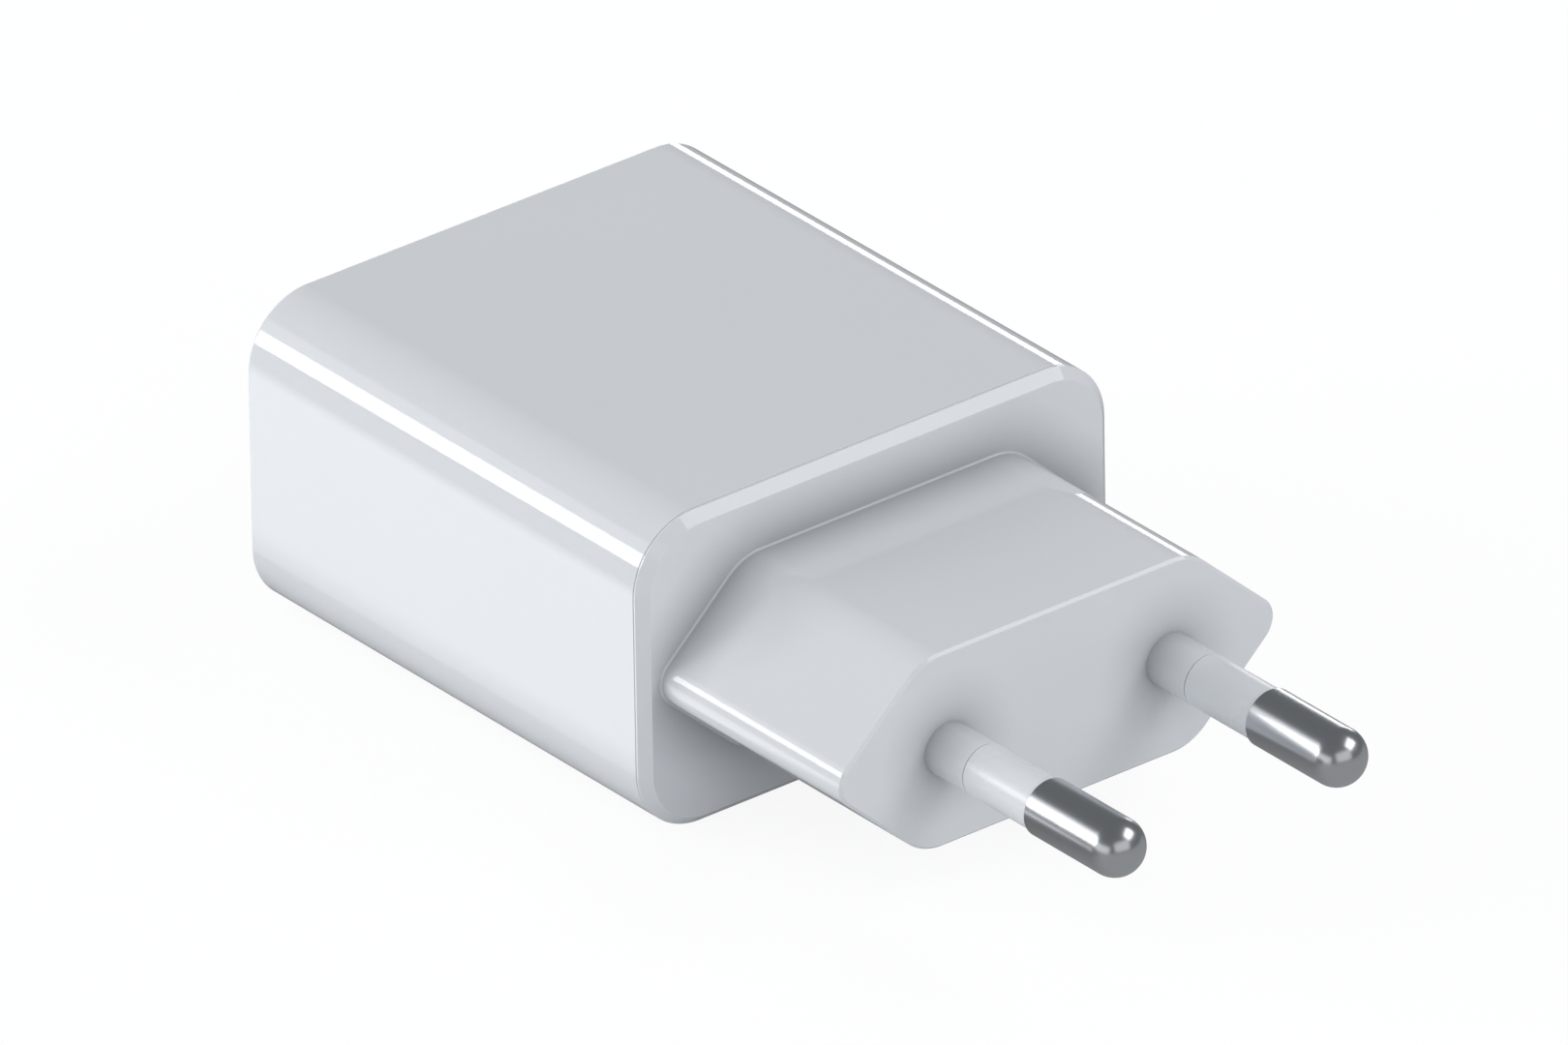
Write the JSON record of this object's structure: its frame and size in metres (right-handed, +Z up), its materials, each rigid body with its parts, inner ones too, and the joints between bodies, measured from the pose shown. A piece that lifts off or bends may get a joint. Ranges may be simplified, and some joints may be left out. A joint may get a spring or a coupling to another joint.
{
  "type": "usb wall charger",
  "caption": "Compact mains charger: rounded rectangular body with a chamfered front rim, hexagonal plug nose with two round sleeved pins, and a USB-A port in the other end.",
  "frame": {"origin": "centre of the plug's contact face, midway between the two pins", "axes": "+X along the pin pair, +Y from the plug face back to the USB end, so the pins point along -Y, and +Z up, square to the wide flat sides"},
  "size_m": [0.0382, 0.077, 0.0224],
  "materials": {
    "gloss_white_case": "high gloss moulded",
    "white_sleeve": "satin gloss moulded",
    "nickel_plate": "bright nickel plate",
    "carrier_plastic": "matt moulded",
    "strip_brass": "rolled strip",
    "board_laminate": "solder resist over glass laminate",
    "capacitor_sleeve_black": "shrunk sleeve",
    "capacitor_sleeve_blue": "shrunk sleeve",
    "resistor_coat": "flameproof coat",
    "ferrite": "sintered and ground",
    "enamelled_copper": "enamelled wire",
    "black_epoxy": "moulded epoxy",
    "bobbin_plastic": "moulded",
    "polyester_tape": "tape",
    "tinned_metal": "tinned",
    "disc_coat": "lacquered disc",
    "chip_ceramic": "fired",
    "insulating_paper": "calendered",
    "usb_steel": "nickel-plated sheet",
    "usb_plastic": "moulded",
    "contact_gold": "gold flash"
  },
  "bodies": {
    "charger": {"housing_shell": "gloss_white_case", "plug_cap": "gloss_white_case", "pin_left": "nickel_plate", "pin_right": "nickel_plate", "sleeve_left": "white_sleeve", "sleeve_right": "white_sleeve", "pin_carrier": "carrier_plastic", "pin_strip_left": "strip_brass", "pin_strip_right": "strip_brass", "circuit_board": "board_laminate", "input_capacitor_left": "capacitor_sleeve_black", "input_capacitor_right": "capacitor_sleeve_black", "fusible_resistor": "resistor_coat", "choke_core": "ferrite", "choke_winding": "enamelled_copper", "bridge_rectifier": "black_epoxy", "controller_chip": "black_epoxy", "transformer_core_front": "ferrite", "transformer_core_rear": "ferrite", "transformer_bobbin": "bobbin_plastic", "primary_winding": "enamelled_copper", "secondary_winding": "enamelled_copper", "winding_tape": "polyester_tape", "transformer_pins": "tinned_metal", "optocoupler": "black_epoxy", "y_capacitor": "disc_coat", "output_diode": "black_epoxy", "output_capacitor_left": "capacitor_sleeve_blue", "output_capacitor_right": "capacitor_sleeve_blue", "chip_components": "chip_ceramic", "solder_joints": "tinned_metal", "insulating_sheet": "insulating_paper", "usb_shell": "usb_steel", "usb_tongue_block": "usb_plastic", "usb_contact_tails": "contact_gold"},
    "contact_1": {"usb_contact_1": "contact_gold"},
    "contact_2": {"usb_contact_2": "contact_gold"},
    "contact_3": {"usb_contact_3": "contact_gold"},
    "contact_4": {"usb_contact_4": "contact_gold"}
  },
  "joints": [
    {"name": "contact_1_flex", "type": "hinge", "parent": "charger", "child": "contact_1", "pos_m": [-0.0035, 0.04805, 0.00044], "axis": [1, 0, 0], "range_deg": [0, 3.7], "stiffness_Nm_per_rad": 0.06},
    {"name": "contact_2_flex", "type": "hinge", "parent": "charger", "child": "contact_2", "pos_m": [-0.001, 0.04805, 0.00044], "axis": [1, 0, 0], "range_deg": [0, 3.7], "stiffness_Nm_per_rad": 0.06},
    {"name": "contact_3_flex", "type": "hinge", "parent": "charger", "child": "contact_3", "pos_m": [0.001, 0.04805, 0.00044], "axis": [1, 0, 0], "range_deg": [0, 3.7], "stiffness_Nm_per_rad": 0.06},
    {"name": "contact_4_flex", "type": "hinge", "parent": "charger", "child": "contact_4", "pos_m": [0.0035, 0.04805, 0.00044], "axis": [1, 0, 0], "range_deg": [0, 3.7], "stiffness_Nm_per_rad": 0.06}
  ]
}
